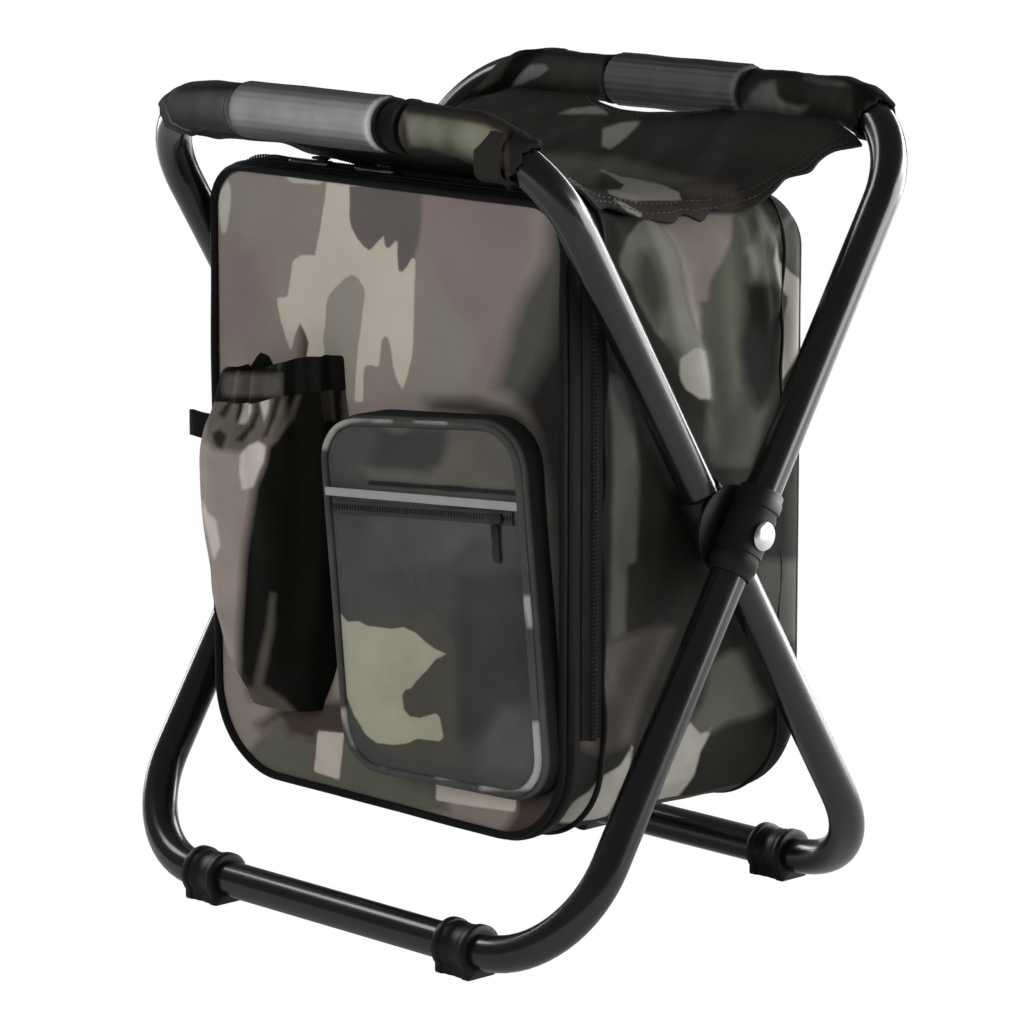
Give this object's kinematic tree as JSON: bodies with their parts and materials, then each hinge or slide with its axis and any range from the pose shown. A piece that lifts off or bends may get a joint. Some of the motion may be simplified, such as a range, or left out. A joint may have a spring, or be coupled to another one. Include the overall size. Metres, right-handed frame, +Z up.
{
  "type": "folding cooler stool",
  "caption": "Folding stool of crossed tube hoops with a cloth seat over an insulated cooler backpack with a zipped front, outer pockets and shoulder straps.",
  "frame": {"origin": "on the ground under the middle of the opened stool", "axes": "+Z up, -Y towards the front with the pockets, +Y towards the shoulder straps, +X to the right seen from the front"},
  "size_m": [0.3478, 0.267, 0.414],
  "materials": {
    "frame_enamel": "gloss",
    "black_plastic": "satin",
    "grey_grip_foam": "satin",
    "dark_grip_foam": "satin",
    "seat_cloth": "matte",
    "bag_cloth": "matte",
    "binding": "matte",
    "zip_tape": "matte",
    "webbing": "matte",
    "strap_padding": "matte",
    "reflective_tape": "satin",
    "foil_lining": "gloss",
    "insulation_foam": "matte",
    "zip_metal": "satin",
    "zip_plastic": "satin",
    "pin_steel": "satin"
  },
  "bodies": {
    "outer_frame": {"outer_frame_upper_tube": "frame_enamel", "outer_frame_lower_tube": "frame_enamel", "rear_grip": "dark_grip_foam", "seat_sleeve_rear_left": "seat_cloth", "seat_sleeve_rear_right": "seat_cloth", "foot_front_left": "black_plastic", "foot_front_right": "black_plastic", "pivot_pin_left": "pin_steel", "pivot_pin_right": "pin_steel", "pivot_collar_outer_left": "black_plastic", "pivot_collar_outer_right": "black_plastic"},
    "inner_frame": {"inner_frame_upper_tube": "frame_enamel", "inner_frame_lower_tube": "frame_enamel", "front_grip": "grey_grip_foam", "front_grip_band": "binding", "seat_sleeve_front_left": "seat_cloth", "seat_sleeve_front_right": "seat_cloth", "foot_rear_left": "black_plastic", "foot_rear_right": "black_plastic", "pivot_collar_inner_left": "black_plastic", "pivot_collar_inner_right": "black_plastic", "pivot_spacer_left": "black_plastic", "pivot_spacer_right": "black_plastic"},
    "bag": {"seat_panel": "seat_cloth", "hanging_tab": "webbing", "bag_shell": "bag_cloth", "bag_insulation": "insulation_foam", "bag_lining": "foil_lining", "front_zip": "zip_tape", "shoulder_strap_left": "strap_padding", "shoulder_strap_right": "strap_padding", "strap_adjuster_left": "black_plastic", "strap_adjuster_right": "black_plastic", "strap_webbing_left": "webbing", "strap_webbing_right": "webbing"},
    "front_door": {"front_panel": "bag_cloth", "front_panel_insulation": "insulation_foam", "front_panel_lining": "foil_lining", "front_panel_piping": "binding", "side_tab": "binding", "bottle_pocket": "bag_cloth", "bottle_pocket_hem": "binding", "front_pocket": "bag_cloth", "front_pocket_piping": "binding", "front_pocket_zip": "zip_tape", "reflective_strip": "reflective_tape"},
    "zip_slider_left": {"zip_slider_left": "zip_metal", "zip_pull_left": "zip_metal"},
    "zip_slider_right": {"zip_slider_right": "zip_metal", "zip_pull_right": "zip_metal"},
    "pocket_zip_slider": {"front_pocket_zip_slider": "zip_plastic", "front_pocket_zip_pull": "zip_plastic"}
  },
  "joints": [
    {"name": "fold", "type": "hinge", "parent": "outer_frame", "child": "inner_frame", "pos_m": [0, 0, 0.2065], "axis": [-1, 0, 0], "range_deg": [0, 54], "deforming": ["seat_panel", "hanging_tab"]},
    {"name": "bag_hang", "type": "hinge", "parent": "outer_frame", "child": "bag", "pos_m": [0, 0, 0.2065], "axis": [-1, 0, 0], "range_deg": [0, 27]},
    {"name": "door_open", "type": "hinge", "parent": "bag", "child": "front_door", "pos_m": [0, -0.0783, 0.058], "axis": [1, 0, 0], "range_deg": [0, 75]},
    {"name": "zip_left_slide", "type": "slide", "parent": "bag", "child": "zip_slider_left", "axis": [-1, 0, 0], "range_m": [0, 0.03]},
    {"name": "zip_right_slide", "type": "slide", "parent": "bag", "child": "zip_slider_right", "axis": [1, 0, 0], "range_m": [0, 0.1]},
    {"name": "pocket_zip_slide", "type": "slide", "parent": "front_door", "child": "pocket_zip_slider", "axis": [-0.9882, -0.1122, -0.1039], "range_m": [0, 0.09]}
  ],
  "couplings": [
    {"joint": "bag_hang", "follows": "fold", "ratio": 0.5}
  ]
}
